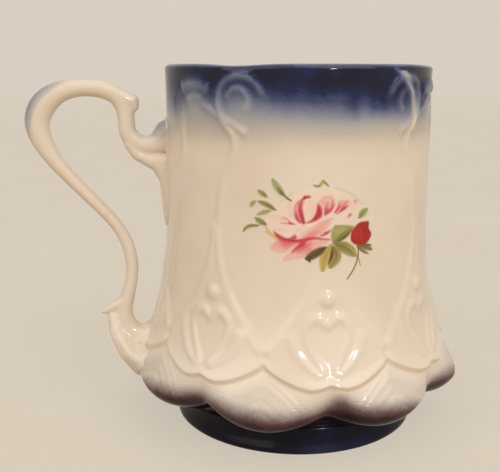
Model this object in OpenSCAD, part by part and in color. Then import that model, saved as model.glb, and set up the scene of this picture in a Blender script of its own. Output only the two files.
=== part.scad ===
// A porcelain mustache cup: a petalled body on a foot, a drinking ledge inside the rim, a scroll
// handle and a rose transfer. Lengths are in millimetres. The origin is the centre of the foot on
// the table and +Z is up. The handle points to -X, the rose faces -Y and the ledge is at +Y.

/* [Body] */
// Height of the rim above the table
cup_h = 102; // [97:0.2:125]
// Outer diameter of the rim
rim_d = 75; // [73:0.5:80]
// Outer diameter of the straight wall
wall_d = 74.2; // [70:0.2:78]
// Thickness of the wall
wall_t = 3.2; // [2.4:0.1:4.5]
// Height of the rim's outward turn
lip_h = 9; // [4:0.5:14]
// Radius of the rounding on the rim's edge
lip_round = 0.8; // [0.3:0.1:1]
// Thickness of the floor
floor_t = 4.5; // [3:0.1:6]
// Height in which the wall's spread above the petals shrinks to about a third
skirt_len = 13; // [9:0.5:17]
// Height at which the straight bore starts
bore_z = 80; // [70:1:88]

/* [Petals] */
// Number of petals round the base, an even number so that the handle stands between two of them
petals = 8; // [6:2:12]
// Diameter over the crests of the petals
petal_d = 96.4; // [92:0.2:102]
// Height of a petal's widest point
petal_z = 16.5; // [15.5:0.1:18]
// Height of the underside of a petal's crest
petal_under_z = 9.6; // [9:0.1:11]
// How far the underside of a petal's crest rolls in
petal_roll = 6.2; // [4:0.1:8]
// Diameter over the valleys between the petals
valley_d = 84; // [80:0.2:87]
// Height of a valley's widest point
valley_z = 18; // [17:0.1:19]
// Height of the underside of a valley
valley_under_z = 12; // [11:0.1:13]
// How far the underside of a valley rolls in
valley_roll = 3.5; // [2:0.1:5]
// Diameter of the scalloped hem that overlaps the petals
hem_d = 91; // [88:0.2:94]
// Height of the hem's lowest points
hem_low_z = 21.6; // [20.5:0.1:23]
// Height of the hem's peaks, over the petals' crests
hem_peak_z = 28.8; // [26:0.1:32]
// Height of the notch in the middle of each scallop
hem_notch = 1.7; // [0.5:0.1:3]
// Thickness of the hem over a petal's crest
hem_t = 0.8; // [0.4:0.1:1.5]
// How far the hem overhangs a valley
hem_overhang = 2; // [1:0.1:3]

/* [Foot] */
// Diameter of the foot on the table
foot_d = 70.4; // [66:0.2:76]
// Height of the foot
foot_h = 8; // [6:0.1:9]
// Width of the foot's ring
foot_t = 6; // [4:0.1:9]
// Diameter of the neck where the foot meets the body
neck_d = 68; // [64:0.2:72]
// Radius of the foot's outer edge
foot_round = 1.2; // [0.4:0.1:2]

/* [Drinking ledge] */
// Depth of the ledge's top below the rim
guard_drop = 4.5; // [3:0.1:12]
// Thickness of the ledge
guard_t = 2.8; // [2:0.1:4]
// How far the ledge reaches in from the wall
guard_reach = 27; // [22:0.5:32]
// Radius of the two rounded fronts of the ledge
guard_front_r = 24; // [20:0.5:30]
// Distance of each rounded front from the middle of the ledge
guard_front_x = 14; // [10:0.5:18]
// Width of the drinking opening along the wall
sip_w = 26; // [18:0.5:32]
// How far the drinking opening reaches in from the wall
sip_reach = 9; // [6:0.5:12]
// Size of the slip fillet under the ledge
guard_fillet = 1.8; // [0.8:0.1:3]

/* [Handle] */
// Distance from the wall to the middle of the loop at its furthest
loop_reach = 35.2; // [30:0.2:42]
// Height of the middle of the loop at its highest
loop_top_z = 95.6; // [91:0.2:99]
// Height of the upper joint
joint_z = 81.8; // [78:0.2:84]
// Distance from the wall to the middle of the waist above the spur
waist_reach = 10.8; // [8:0.2:15]
// Height of the waist
waist_z = 45; // [42:0.2:50]
// Height of the lower joint
root_z = 24; // [22:0.2:27]
// Half width of the loop at its furthest, seen from the side
loop_half_w = 3.5; // [2.5:0.1:4.2]
// Half width of the waist, seen from the side
waist_half_w = 1.85; // [1.4:0.05:2.6]
// Half thickness of the handle, seen from behind
handle_half_t = 2.6; // [2:0.1:3.4]

/* [Slip and ink] */
// Thickness of the slip between two pieces
slip_t = 0.5; // [0.3:0.05:0.8]
// How far the slip is squeezed out round the handle's ends
slip_bead = 0.5; // [0.2:0.05:1]
// Thickness of the transfer's ink film
ink_t = 0.12; // [0.08:0.01:0.3]
// Height of the middle of the rose above the table
rose_z = 63.3; // [60:0.1:68]
// Half width of the rose
rose_half_w = 10.5; // [8:0.1:12]
// Half height of the rose
rose_half_h = 8.5; // [6:0.1:9]
// Clearance between curved faces that touch
seat_gap = 0.05; // [0.05:0.01:0.1]

/* [Hidden] */
rim_r = rim_d / 2;
wall_r = wall_d / 2;
bore_r = wall_r - wall_t;
hem_r = hem_d / 2;
petal_r = petal_d / 2;
valley_r = valley_d / 2;
foot_r = foot_d / 2;
neck_r = neck_d / 2;
floor_z = foot_h + floor_t;
pitch = 360 / petals;

// Facets round a petal, and rows of facets in each band of the body
petal_facets = 12;
roll_rows = 5;
face_rows = 5;
skirt_rows = 6;
wall_rows = 8;
facets = petals * petal_facets;
// Top of the band of rows that follow the hem
skirt_rows_z = 46;

porcelain = [0.93, 0.88, 0.80];
cobalt = [0.07, 0.09, 0.25];
clay_white = [0.96, 0.94, 0.90];

function mix(a, b, t) = a + (b - a) * t;

// Points of an arc in a profile
function arc(c, r, from, to, steps) =
    [for (k = [0:steps]) let (t = mix(from, to, k / steps)) [c[0] + r * cos(t), c[1] + r * sin(t)]];

// 0 in a valley and 1 on a petal's crest
function crest_share(a) = 1 - abs(2 * (a % pitch) / pitch - 1);

// Full round petals that meet in sharp valleys
petal_fullness = 0.8;
function swell(share) = pow(sin(90 * share), petal_fullness);

// Height of the two-lobed hem, which dips on both sides of a notch over each valley
hem_lobe = 0.25;
hem_rise = 1.3;
notch_rise = 1.5;
function hem_z(share) = share > hem_lobe
    ? mix(hem_low_z, hem_peak_z, pow((share - hem_lobe) / (1 - hem_lobe), hem_rise))
    : hem_low_z + hem_notch * pow(1 - share / hem_lobe, notch_rise);

// Outer radius of the plain wall, with the skirt's spread below and the rim's turn above
function wall_radius(z) = wall_r
    + (hem_r - wall_r) * exp((hem_low_z - z) / skirt_len)
    + (rim_r - wall_r) * pow(max(0, (z - cup_h + lip_h) / lip_h), 2);

// The body's outline at an angle, from the neck up to the rim, as radius and height, grown by a skin
face_bulge = 1.3;
row_spread = 1.4;
function body_outline(a, skin) = let (
        share = crest_share(a),
        s = swell(share),
        belly_r = mix(valley_r, petal_r, s) + skin,
        belly_z = mix(valley_z, petal_z, s),
        roll = mix(valley_roll, petal_roll, s),
        under_z = mix(valley_under_z, petal_under_z, s) - skin,
        edge_z = hem_z(share) - skin,
        edge_r = wall_radius(edge_z) + skin,
        under_hem_r = edge_r - mix(hem_overhang, hem_t, share))
    concat(
        [[neck_r + skin, foot_h]],
        [for (k = [0:roll_rows]) let (t = 90 * k / roll_rows)
            [belly_r - roll * (1 - sin(t)), belly_z - (belly_z - under_z) * cos(t)]],
        [for (k = [face_rows - 1:-1:0]) let (t = k / face_rows)
            [mix(under_hem_r, belly_r, pow(sin(90 * t), face_bulge)), mix(edge_z, belly_z, t)]],
        [for (k = [0:skirt_rows])
            let (z = mix(edge_z, skirt_rows_z, pow(k / skirt_rows, row_spread)))
            [wall_radius(z) + skin, z]],
        [for (k = [1:wall_rows]) let (z = mix(skirt_rows_z, cup_h - lip_h, k / wall_rows))
            [wall_radius(z) + skin, z]],
        [for (k = [1:2]) let (z = mix(cup_h - lip_h, cup_h - lip_round, k / 2))
            [wall_radius(z) + skin, z]],
        [for (t = [45, 90])
            [rim_r + skin - lip_round * (1 - cos(t)), cup_h - lip_round * (1 - sin(t))]]);

// The body's outer form without its hollow, grown outwards by a skin
module body_form(skin = 0) {
    outlines = [for (i = [0:facets - 1]) body_outline(i * 360 / facets, skin)];
    rows = len(outlines[0]);
    points = [for (k = [0:rows - 1]) for (i = [0:facets - 1])
        let (a = i * 360 / facets, p = outlines[i][k])
            [p[0] * cos(a), p[0] * sin(a), p[1]]];
    sides = [for (k = [0:rows - 2]) for (i = [0:facets - 1])
        let (j = (i + 1) % facets, low = k * facets, high = low + facets)
            each [[low + i, high + i, low + j], [high + i, high + j, low + j]]];
    bottom = [for (i = [0:facets - 1]) i];
    top = [for (i = [facets - 1:-1:0]) (rows - 1) * facets + i];
    polyhedron(points, concat([bottom], sides, [top]), convexity = 6);
}

// The hollow inside: a straight bore that spreads into the petals and rounds into the floor
bowl_r = min(valley_r, hem_r - hem_overhang) - wall_t;
bowl_round = 7;
bowl_steps = 8;
function bowl_radius(z) = bore_r
    + (bowl_r - bore_r) * pow(max(0, (bore_z - z) / (bore_z - valley_z)), 3);
module hollow() {
    corner_z = floor_z + bowl_round;
    corner_r = bowl_radius(corner_z);
    rotate_extrude($fn = facets)
        polygon(concat(
            [[0, floor_z]],
            arc([corner_r - bowl_round, corner_z], bowl_round, -90, 0, 4),
            [for (k = [1:bowl_steps])
                let (z = mix(corner_z, bore_z, k / bowl_steps))
                    [bowl_radius(z), z]],
            [[bore_r, cup_h - lip_round], [bore_r + lip_round, cup_h]],
            [[bore_r + lip_round, cup_h + lip_round], [0, cup_h + lip_round]]));
}

module cup_body() {
    color(porcelain)
        difference() {
            body_form();
            hollow();
        }
}

// The foot spreads from the neck to the table and stands on a flat ring
module foot_ring() {
    top = foot_h - slip_t;
    inner_r = foot_r - foot_t;
    color(cobalt)
        rotate_extrude($fn = facets)
            polygon(concat(
                [[inner_r + foot_round, 0]],
                arc([foot_r - foot_round, foot_round], foot_round, -90, 0, 4),
                [[foot_r - foot_round / 4, 2 * foot_round]],
                [[neck_r, top], [neck_r - foot_t, top]],
                [[inner_r, foot_round]]));
}

module foot_slip() {
    color(clay_white)
        translate([0, 0, foot_h - slip_t])
            difference() {
                cylinder(h = slip_t, r = neck_r, $fn = facets);
                translate([0, 0, -1])
                    cylinder(h = slip_t + 2, r = neck_r - foot_t, $fn = facets);
            }
}

guard_top = cup_h - guard_drop;
guard_edge_r = bore_r - slip_t;

// The ledge's outline inside a given radius: two rounded fronts, with the drinking opening at the wall
module guard_outline(r) {
    sip_r = (sip_reach * sip_reach + sip_w * sip_w / 4) / (2 * sip_reach);
    difference() {
        intersection() {
            circle(r = r, $fn = facets);
            union()
                for (side = [-1, 1])
                    translate([side * guard_front_x, bore_r - guard_reach + guard_front_r])
                        circle(r = guard_front_r, $fn = facets);
        }
        translate([0, bore_r - sip_reach + sip_r])
            circle(r = sip_r, $fn = facets);
    }
}

module mustache_guard() {
    color(porcelain)
        translate([0, 0, guard_top - guard_t])
            linear_extrude(height = guard_t)
                guard_outline(guard_edge_r);
}

// A band round the ledge's edge, with a fillet between its underside and the wall
module guard_slip() {
    under = guard_top - guard_t;
    outer_r = bore_r - seat_gap;
    color(clay_white)
        intersection() {
            rotate_extrude($fn = facets)
                polygon([[guard_edge_r - guard_fillet, under], [outer_r, under - guard_fillet],
                    [outer_r, guard_top], [guard_edge_r, guard_top], [guard_edge_r, under]]);
            translate([0, 0, under - guard_fillet])
                linear_extrude(height = guard_t + guard_fillet)
                    guard_outline(bore_r);
        }
}

// The handle's middle line: distance from the wall, height, half width and half thickness.
// It runs from the upper joint over the loop, down the long curve to the waist and into the root.
handle_line = [
    [-7, joint_z + 1.2, 5, handle_half_t + 1.4],
    [-1, joint_z + 0.4, 4.6, handle_half_t + 1.2],
    [3, joint_z - 1.6, 3.1, handle_half_t + 0.4],
    [6, joint_z - 2.2, 2.7, handle_half_t + 0.2],
    [9, joint_z - 1, 2.7, handle_half_t + 0.1],
    [10.9, joint_z + 1.6, 2.5, handle_half_t],
    [11.2, joint_z + 5.2, 2.4, handle_half_t],
    [11.7, loop_top_z - 5.3, 2.6, handle_half_t],
    [13.6, loop_top_z - 2.2, 2.6, handle_half_t + 0.1],
    [17.5, loop_top_z - 0.5, 2.5, handle_half_t + 0.1],
    [loop_reach - 12.2, loop_top_z, 2.45, handle_half_t + 0.2],
    [loop_reach - 6.7, loop_top_z - 1, loop_half_w - 0.6, handle_half_t + 0.4],
    [loop_reach - 2.2, loop_top_z - 4.1, loop_half_w + 0.1, handle_half_t + 0.5],
    [loop_reach, loop_top_z - 8.8, loop_half_w, handle_half_t + 0.5],
    [loop_reach - 1, loop_top_z - 14.1, loop_half_w - 0.5, handle_half_t + 0.4],
    [loop_reach - 4.4, loop_top_z - 20.1, 2.3, handle_half_t + 0.2],
    [loop_reach - 9.7, loop_top_z - 26.4, 1.95, handle_half_t],
    [waist_reach + 9, waist_z + 18, 1.8, handle_half_t - 0.1],
    [waist_reach + 4, waist_z + 12.2, 1.8, handle_half_t - 0.2],
    [waist_reach + 1, waist_z + 6.2, waist_half_w, handle_half_t - 0.3],
    [waist_reach, waist_z, waist_half_w, handle_half_t - 0.3],
    [waist_reach + 0.6, waist_z - 5.5, waist_half_w + 0.05, handle_half_t - 0.2],
    [waist_reach + 2, waist_z - 10.5, waist_half_w + 0.25, handle_half_t],
    [waist_reach + 2.6, root_z + 5.8, 2.7, handle_half_t + 0.3],
    [waist_reach + 0.8, root_z + 1.6, 3.2, handle_half_t + 0.6],
    [waist_reach - 2.8, root_z - 0.4, 3.3, handle_half_t + 0.9],
    [3, root_z, 3.3, handle_half_t + 1.1],
    [-5, root_z + 1, 3.3, handle_half_t + 1.1]];
line_steps = 3;
section_sides = 16;
ball_facets = 20;

// Runs of rounded leaf forms, with the same four values at each point
thumb_scroll = [
    [12.5, loop_top_z - 2.8, 2.7, 2.7],
    [9.4, loop_top_z - 3.6, 1.9, 2.3],
    [8.9, loop_top_z - 5.4, 1.2, 1.8]];
joint_leaf = [
    [10.6, joint_z - 1.6, 1.6, 2.4],
    [8.5, joint_z - 4.6, 1.7, 2.6],
    [5, joint_z - 6.4, 2, 3],
    [2.2, joint_z - 7, 2.9, 3.4],
    [0.9, joint_z - 11.8, 1.6, 3],
    [0.5, joint_z - 17.8, 1.4, 2.5],
    [0.2, joint_z - 23.3, 1.2, 1.5]];
spur = [
    [waist_reach + 1.7, waist_z - 10, waist_half_w + 0.3, 2.3],
    [waist_reach + 5.7, waist_z - 12, 1.4, 1.6],
    [waist_reach + 8.6, waist_z - 13.3, 0.8, 0.9]];
root_leaf = [
    [waist_reach + 5.6, root_z + 6, 1.9, 2],
    [waist_reach + 4.8, root_z + 1.5, 2.4, 4.5],
    [waist_reach + 1.6, root_z - 3.5, 3.4, 7.5],
    [waist_reach - 2.3, root_z - 7.5, 4, 8.5],
    [4.5, root_z - 10.2, 3.8, 8]];

// A smooth curve through a list of points, between point i and the next one
function smooth_at(list, i, t) = let (
        p0 = list[max(i - 1, 0)],
        p1 = list[i],
        p2 = list[i + 1],
        p3 = list[min(i + 2, len(list) - 1)])
    0.5 * (2 * p1 + (p2 - p0) * t + (2 * p0 - 5 * p1 + 4 * p2 - p3) * t * t
        + (3 * p1 - p0 - 3 * p2 + p3) * t * t * t);
function smooth_line(list, steps) = concat(
    [for (i = [0:len(list) - 2]) for (k = [0:steps - 1]) smooth_at(list, i, k / steps)],
    [list[len(list) - 1]]);

// An oval bar swept along the handle's middle line
module handle_bar() {
    line = smooth_line(handle_line, line_steps);
    last = len(line) - 1;
    points = [for (i = [0:last])
        let (
            p = line[i],
            run = line[min(i + 1, last)] - line[max(i - 1, 0)],
            length = norm([run[0], run[1]]),
            across = [-run[1], run[0]] / length)
        for (j = [0:section_sides - 1])
            let (
                t = 360 * j / section_sides,
                w = p[2] * cos(t))
            [-(wall_r + p[0] + w * across[0]), p[3] * sin(t), p[1] + w * across[1]]];
    sides = [for (i = [0:last - 1]) for (j = [0:section_sides - 1])
        let (n = (j + 1) % section_sides, low = i * section_sides, high = low + section_sides)
            each [[low + j, high + j, low + n], [high + j, high + n, low + n]]];
    start = [for (j = [0:section_sides - 1]) j];
    end = [for (j = [section_sides - 1:-1:0]) last * section_sides + j];
    polyhedron(points, concat([start], sides, [end]), convexity = 6);
}

// A chain of flattened balls, joined one to the next and grown by a skin
module leaf_run(list, skin = 0) {
    for (i = [0:len(list) - 2])
        hull()
            for (p = [list[i], list[i + 1]])
                translate([-(wall_r + p[0]), 0, p[1]])
                    scale([1, (p[3] + skin) / (p[2] + skin), 1])
                        sphere(r = p[2] + skin, $fn = ball_facets);
}

// The whole handle, reaching into the body
module handle_form() {
    handle_bar();
    for (run = [thumb_scroll, joint_leaf, spur, root_leaf])
        leaf_run(run);
}

module handle() {
    color(porcelain)
        difference() {
            handle_form();
            body_form(slip_t);
        }
}

// Where the handle's ends sit on the body, with the same four values at each point
top_seat = [
    [0, joint_z + 1.6, 3.6, 3.4],
    [0, joint_z - 1.5, 4.2, handle_half_t + 1.2],
    [0, joint_z - 7, 3, 3.5],
    [0, joint_z - 12, 1.8, 3.1],
    [0, joint_z - 18, 1.5, 2.6],
    [0, joint_z - 23.3, 1.3, 1.7]];
hem_reach = wall_radius(hem_low_z + hem_notch) - wall_r;
valley_reach = valley_r - wall_r;
root_seat = [
    [hem_reach - hem_overhang, root_z + 0.8, 3.3, handle_half_t + 1.1],
    [valley_reach, root_z - 4, 3.6, 6.5],
    [valley_reach + 0.5, root_z - 7.5, 4, 8.5],
    [valley_reach, root_z - 10.2, 3.8, 8]];
seat_steps = 3;

// The slip under one end of the handle, between the body and the handle's cut end
module end_slip(seat) {
    color(clay_white)
        difference() {
            intersection() {
                leaf_run(smooth_line(seat, seat_steps), slip_bead);
                body_form(slip_t);
            }
            body_form();
        }
}

module handle_top_slip() {
    end_slip(top_seat);
}

module handle_root_slip() {
    end_slip(root_seat);
}

// A thin film on the wall, filled from its middle out to an outline round [sideways, up] on the front
module ink_film(middle, outline, spokes, rows) {
    marks = concat([middle],
        [for (k = [1:rows]) for (i = [0:spokes - 1])
            middle + outline(360 * i / spokes) * k / rows]);
    count = len(marks);
    points = [for (skin = [seat_gap, seat_gap + ink_t]) for (m = marks)
        let (a = -90 + m[0] / wall_r * 180 / PI, r = wall_radius(m[1]) + skin)
            [r * cos(a), r * sin(a), m[1]]];
    skin_faces = concat(
        [for (i = [0:spokes - 1]) [0, 1 + i, 1 + (i + 1) % spokes]],
        [for (k = [0:rows - 2]) for (i = [0:spokes - 1])
            let (n = (i + 1) % spokes, low = 1 + k * spokes, high = low + spokes)
                each [[low + i, high + i, low + n], [high + i, high + n, low + n]]]);
    edge = 1 + (rows - 1) * spokes;
    edge_faces = [for (i = [0:spokes - 1])
        let (n = (i + 1) % spokes)
            each [[edge + i, edge + n + count, edge + n],
                [edge + i, edge + i + count, edge + n + count]]];
    outer_faces = [for (f = skin_faces) [f[0] + count, f[2] + count, f[1] + count]];
    polyhedron(points, concat(skin_faces, outer_faces, edge_faces), convexity = 4);
}

rose_x = -4.5;
rose_scallops = 7;
scallop_depth = 0.06;
function rose_outline(t) = (1 + scallop_depth * cos(rose_scallops * t))
    * [rose_half_w * cos(t), rose_half_h * sin(t)];
rose_edge_w = rose_half_w * (1 + scallop_depth);
rose_edge_h = rose_half_h * (1 + scallop_depth);

module rose_bloom() {
    color([0.87, 0.50, 0.52])
        ink_film([rose_x, rose_z], function (t) rose_outline(t), 36, 5);
}

bud_half_w = 2.7;
bud_half_h = 3.1;
bud_gap = 0.6;
bud_x = rose_x + rose_edge_w + bud_gap + bud_half_w;
bud_z = rose_z - 3;
bud_droop = 0.1;
function bud_outline(t) =
    [bud_half_w * cos(t), bud_half_h * sin(t) * (1 + bud_droop - bud_droop * sin(t))];

module rose_bud() {
    color([0.72, 0.12, 0.13])
        ink_film([bud_x, bud_z], function (t) bud_outline(t), 16, 3);
}

// Leaves and stems as [sideways, up] from the rose's edge, half length, half width and tilt
left_x = rose_x - rose_edge_w;
above_z = rose_z + rose_edge_h;
below_z = rose_z - rose_edge_h;
leaves = [
    [left_x + 1.6, above_z - 0.4, 2.6, 1, -50],
    [left_x - 1, above_z - 2.6, 1.8, 0.7, -30],
    [left_x - 2.6, rose_z + 3.6, 2.1, 0.9, -20],
    [left_x - 2.6, rose_z + 0.2, 1.9, 0.9, -35],
    [left_x - 4, rose_z - 2.6, 2.2, 0.7, 18],
    [rose_x + 2.6, above_z + 1, 2, 0.6, -12],
    [bud_x + 1.4, bud_z + bud_half_h + 2.6, 1.6, 0.8, 38],
    [rose_x + 4.2, below_z - 0.8, 2.9, 1.3, 72],
    [rose_x + 8.6, below_z + 0.4, 2.8, 1.3, -28],
    [bud_x - 1.2, bud_z - bud_half_h - 5, 4.4, 0.35, 68]];

function leaf_outline(leaf, t) = let (
        along = leaf[2] * cos(t),
        across = leaf[3] * sin(t) * sqrt(abs(sin(t))))
    [along * cos(leaf[4]) - across * sin(leaf[4]), along * sin(leaf[4]) + across * cos(leaf[4])];

module rose_leaves() {
    color([0.36, 0.42, 0.20])
        for (leaf = leaves)
            ink_film([leaf[0], leaf[1]], function (t) leaf_outline(leaf, t), 12, 2);
}

cup_body();
foot_ring();
foot_slip();
mustache_guard();
guard_slip();
handle();
handle_top_slip();
handle_root_slip();
rose_bloom();
rose_bud();
rose_leaves();
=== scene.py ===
"""A porcelain mustache cup: petalled body, foot, drinking ledge, scroll handle and a rose transfer."""
import math

import bpy
import numpy as np
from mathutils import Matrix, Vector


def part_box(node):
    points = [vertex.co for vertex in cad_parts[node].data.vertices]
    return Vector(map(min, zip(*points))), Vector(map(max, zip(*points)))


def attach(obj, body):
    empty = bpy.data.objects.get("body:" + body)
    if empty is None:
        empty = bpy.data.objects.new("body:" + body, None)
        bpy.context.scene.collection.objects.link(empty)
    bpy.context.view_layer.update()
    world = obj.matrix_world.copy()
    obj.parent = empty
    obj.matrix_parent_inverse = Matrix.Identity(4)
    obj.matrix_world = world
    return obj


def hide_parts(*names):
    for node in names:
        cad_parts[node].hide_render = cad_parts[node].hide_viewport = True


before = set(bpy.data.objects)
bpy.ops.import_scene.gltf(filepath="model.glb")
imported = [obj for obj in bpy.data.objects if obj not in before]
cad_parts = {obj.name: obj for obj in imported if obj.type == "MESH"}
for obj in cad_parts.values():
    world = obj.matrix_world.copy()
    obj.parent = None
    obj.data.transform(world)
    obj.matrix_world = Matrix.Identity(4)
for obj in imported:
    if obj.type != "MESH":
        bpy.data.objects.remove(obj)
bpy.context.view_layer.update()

# Sizes are in millimetres and degrees, and turn into metres where a mesh takes its points
MM = 0.001

# Sizes that the frame gives
cup_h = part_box("cup_body")[1].z / MM
foot_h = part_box("foot_slip")[1].z / MM
foot_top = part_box("foot_ring")[1].z / MM
foot_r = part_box("foot_ring")[1].x / MM
neck_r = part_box("foot_slip")[1].x / MM
guard_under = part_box("mustache_guard")[0].z / MM
guard_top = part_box("mustache_guard")[1].z / MM

# The body's own sizes
wall_r = 37.1
rim_r = 37.5
bore_r = 33.9
lip_h = 9
lip_round = 1.3
floor_t = 4.5
floor_z = foot_h + floor_t
under_dome = 1.5
skirt_len = 13
skirt_top = 46
pitch = 45
# A petal's and a valley's widest radius and its height, the underside's height, and how far that rolls in
petal_r, petal_z, petal_under, petal_roll = 48, 14.8, 9.5, 6.4
valley_r, valley_z, valley_under, valley_roll = 43.3, 17.4, 13.4, 4.2
hem_r, hem_low, hem_peak, hem_notch, hem_lobe = 45.5, 21.4, 26.5, 0.9, 0.25
hem_edge = 1.6
petal_step = 0.15  # how far a petal's top stands out from the hem above it
bowl_r, bowl_round, bore_z = 38.8, 7, 80
roll_flat = 1.35  # 1 rolls the petals' undersides as a quarter circle, 2 as a straight slope
face_bend = 1.35  # 1 draws a petal's face in as a straight slope, more keeps it fuller
front = 270  # the angle at which the rose faces, from +X towards +Y
handle_at = 180
handle_room = 13  # half the angle at the handle where the petals have no valley


def mix(a, b, t):
    return a + (b - a) * t


def ease(t):
    t = np.clip(t, 0, 1)
    return t * t * (3 - 2 * t)


def bell(t):
    return np.exp(-t * t)


def curve(points, steps=6):
    """A smooth line through given points."""
    p = np.array(points, float)
    p = np.vstack([2 * p[0] - p[1], p, 2 * p[-1] - p[-2]])
    line = []
    for i in range(1, len(p) - 2):
        for k in range(steps):
            t = k / steps
            line.append(0.5 * (2 * p[i] + (p[i + 1] - p[i - 1]) * t
                               + (2 * p[i - 1] - 5 * p[i] + 4 * p[i + 1] - p[i + 2]) * t * t
                               + (3 * p[i] - p[i - 1] - 3 * p[i + 1] + p[i + 2]) * t ** 3))
    return np.array(line + [p[-2]])


def nearest(x, y, line):
    """Distance from each point to a line, and how far along the line that is, from 0 to 1."""
    gap = np.full(x.shape, np.inf)
    along = np.zeros(x.shape)
    for i, (a, b) in enumerate(zip(line[:-1], line[1:])):
        run = b - a
        t = np.clip(((x - a[0]) * run[0] + (y - a[1]) * run[1]) / max(run @ run, 1e-12), 0, 1)
        d = np.hypot(x - a[0] - t * run[0], y - a[1] - t * run[1])
        along = np.where(d < gap, (i + t) / (len(line) - 1), along)
        gap = np.minimum(gap, d)
    return gap, along


def from_front(angle):
    """Degrees from the front, from -180 to 180."""
    return (angle - front + 180) % 360 - 180


def angle_of(co):
    return np.degrees(np.arctan2(co[:, 1], co[:, 0])) % 360


def round_axis(r, angle, z):
    return np.column_stack([r * np.cos(np.radians(angle)), r * np.sin(np.radians(angle)), z])


# The body's plain form

def off_unit(angle):
    """Degrees from the middle of the nearest moulded arch, which stands over a valley."""
    return (angle + pitch / 2) % pitch - pitch / 2


def crest_share(angle):
    return np.abs(off_unit(angle)) * 2 / pitch


def swell(share):
    """How far a petal stands out between the valley and its crest, with a soft crease in the valley."""
    crease = 0.012
    fullness = 0.48
    return ((np.sin(np.pi / 2 * share) ** 2 + crease) / (1 + crease)) ** fullness


def hem_height(share):
    rise = mix(hem_low, hem_peak, np.clip((share - hem_lobe) / (1 - hem_lobe), 0, 1) ** 1.6)
    return rise + hem_notch * np.clip(1 - share / hem_lobe, 0, 1) ** 1.5


def wall_radius(z):
    turn = np.clip((z - cup_h + lip_h) / lip_h, 0, 1)
    return wall_r + (hem_r - wall_r) * np.exp((hem_low - z) / skirt_len) + (rim_r - wall_r) * turn ** 2


def bowl_radius(z):
    return bore_r + (bowl_r - bore_r) * np.clip((bore_z - z) / (bore_z - valley_z), 0, 1) ** 3


# The moulded ornament. Arch lines are degrees from the arch's middle and height, and panel lines are
# degrees from the front or the back and height.
ARCH = [(22.5, 31.2), (19.5, 32.8), (16, 36), (12.5, 39.2), (9, 42.4), (5.4, 46.9), (2.8, 51.6), (1.4, 56),
        (0.5, 62)]
HEART = [(0, 37.4), (1.4, 38.5), (3.7, 39.6), (6.3, 39), (8.2, 36.9), (7.8, 34.6), (6.2, 32), (4.2, 29.3),
         (2.1, 26.8), (0.5, 25)]
LOBE = [(13, 34.4), (11.6, 31.6), (9.2, 29.2), (6.2, 27.3), (3.4, 25.9)]
# The bead over each heart: its height on the cup, its radius, and how far it stands out
bead_z, bead_r, bead_h = 44.3, 2, 0.8
# How far the field in an arch, an arch's line and the line along the hem stand out, and how deep a heart is
field_h, line_h, hem_line_h, heart_deep = 0.45, 0.55, 0.26, 0.3
# Where an arch ends: below a panel's line, and elsewhere
arch_top, plain_top = 64, 55
# Each line's points, half width and height
PANEL_LINES = [
    # side ridge of the panel, rolling into the scroll below the rim
    ([(42.3, 55), (43.5, 62), (43, 68), (41, 75), (37.6, 79.4), (36.4, 82.4), (37.5, 85.2), (41.6, 88),
      (43.6, 92), (42.6, 96), (39.3, 98.2), (35, 99.1), (31, 98.6), (27.6, 97.1), (24.9, 94.7),
      (22.5, 92.4)], 0.95, 0.7),
    # eye of the scroll
    ([(40.4, 92.6), (39, 95), (36, 96), (33, 95.5), (30.9, 93.6), (31.6, 91.4), (34.2, 91)], 0.8, 0.5),
    # branch to the rim
    ([(36, 98.8), (32.4, 100.1), (29.4, 101)], 0.8, 0.55),
    # tail and leaf towards the handle
    ([(54, 92.8), (46.4, 90.2), (40.3, 88.2), (35.1, 86.4), (30.6, 84.8)], 0.9, 0.5),
    ([(65, 95.2), (60, 96.8), (52.7, 96.7), (47.6, 95.2)], 1.5, 0.65),
    ([(62, 92.6), (56.4, 94), (51, 93.6)], 1.1, 0.45),
    # frame beside the handle
    ([(64.6, 94), (64, 85), (64.4, 77), (69, 69), (75, 57), (79, 44), (82, 35), (85, 27)], 0.8, 0.45)]


def unrolled(points, radius):
    """A line of degrees and heights as millimetres sideways and up."""
    line = curve(points)
    return np.column_stack([np.radians(line[:, 0]) * radius(line[:, 1]), line[:, 1]])


def on_arch(points):
    return unrolled(points, wall_radius)


def on_panel(points):
    return unrolled(points, lambda z: wall_r)


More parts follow.
